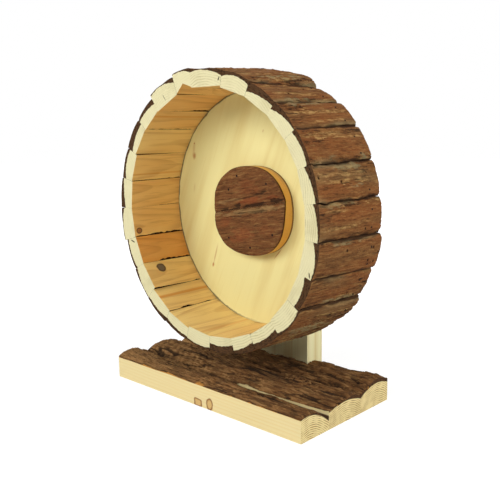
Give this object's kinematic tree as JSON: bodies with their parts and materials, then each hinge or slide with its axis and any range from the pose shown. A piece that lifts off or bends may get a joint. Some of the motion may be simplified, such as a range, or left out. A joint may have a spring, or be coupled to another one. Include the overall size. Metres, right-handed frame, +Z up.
{
  "type": "rodent exercise wheel",
  "caption": "Bark-on wooden running wheel for small rodents: a drum of half-round staves nailed round a plywood disc, spinning on an upright board in a slab base.",
  "frame": {"origin": "on the floor under the axle, at the middle of the drum's length, on the base's underside", "axes": "+X along the base to the right of the open front, +Y from the open front to the back, +Z up"},
  "size_m": [0.2837, 0.1526, 0.3348],
  "materials": {
    "stave_bark_wood": "sawn pine inside, brown bark outside",
    "disc_plywood": "sanded pine plywood",
    "boss_wood": "turned pine",
    "hub_bark_wood": "reddish brown bark, sawn golden edge",
    "brad_steel": "dark blued steel",
    "bush_brass": "plain turned brass",
    "dowel_wood": "fluted beech dowel, unfinished",
    "upright_wood": "planed pine board",
    "screw_steel": "yellow zinc plated",
    "axle_steel": "zinc plated",
    "base_bark_wood": "rough dark bark, pale sawn pine edges"
  },
  "bodies": {
    "stand": {"base_slab_front": "base_bark_wood", "base_slab_middle": "base_bark_wood", "base_slab_back": "base_bark_wood", "base_dowels": "dowel_wood", "upright": "upright_wood", "upright_screws": "screw_steel", "axle_bolt": "axle_steel", "spacer_washer": "axle_steel", "back_washer": "axle_steel", "lock_nut": "axle_steel"},
    "wheel": {"stave_01": "stave_bark_wood", "stave_02": "stave_bark_wood", "stave_03": "stave_bark_wood", "stave_04": "stave_bark_wood", "stave_05": "stave_bark_wood", "stave_06": "stave_bark_wood", "stave_07": "stave_bark_wood", "stave_08": "stave_bark_wood", "stave_09": "stave_bark_wood", "stave_10": "stave_bark_wood", "stave_11": "stave_bark_wood", "stave_12": "stave_bark_wood", "stave_13": "stave_bark_wood", "stave_14": "stave_bark_wood", "stave_15": "stave_bark_wood", "stave_16": "stave_bark_wood", "stave_17": "stave_bark_wood", "stave_18": "stave_bark_wood", "stave_19": "stave_bark_wood", "stave_20": "stave_bark_wood", "stave_21": "stave_bark_wood", "stave_22": "stave_bark_wood", "stave_23": "stave_bark_wood", "stave_24": "stave_bark_wood", "stave_25": "stave_bark_wood", "stave_brads": "brad_steel", "back_disc": "disc_plywood", "hub_boss": "boss_wood", "hub_cover_upper": "hub_bark_wood", "hub_cover_lower": "hub_bark_wood", "hub_brads": "brad_steel", "axle_bush": "bush_brass"}
  },
  "joints": [
    {"name": "wheel_spin", "type": "hinge", "parent": "stand", "child": "wheel", "pos_m": [0, 0, 0.194], "axis": [0, 1, 0], "continuous": true}
  ]
}
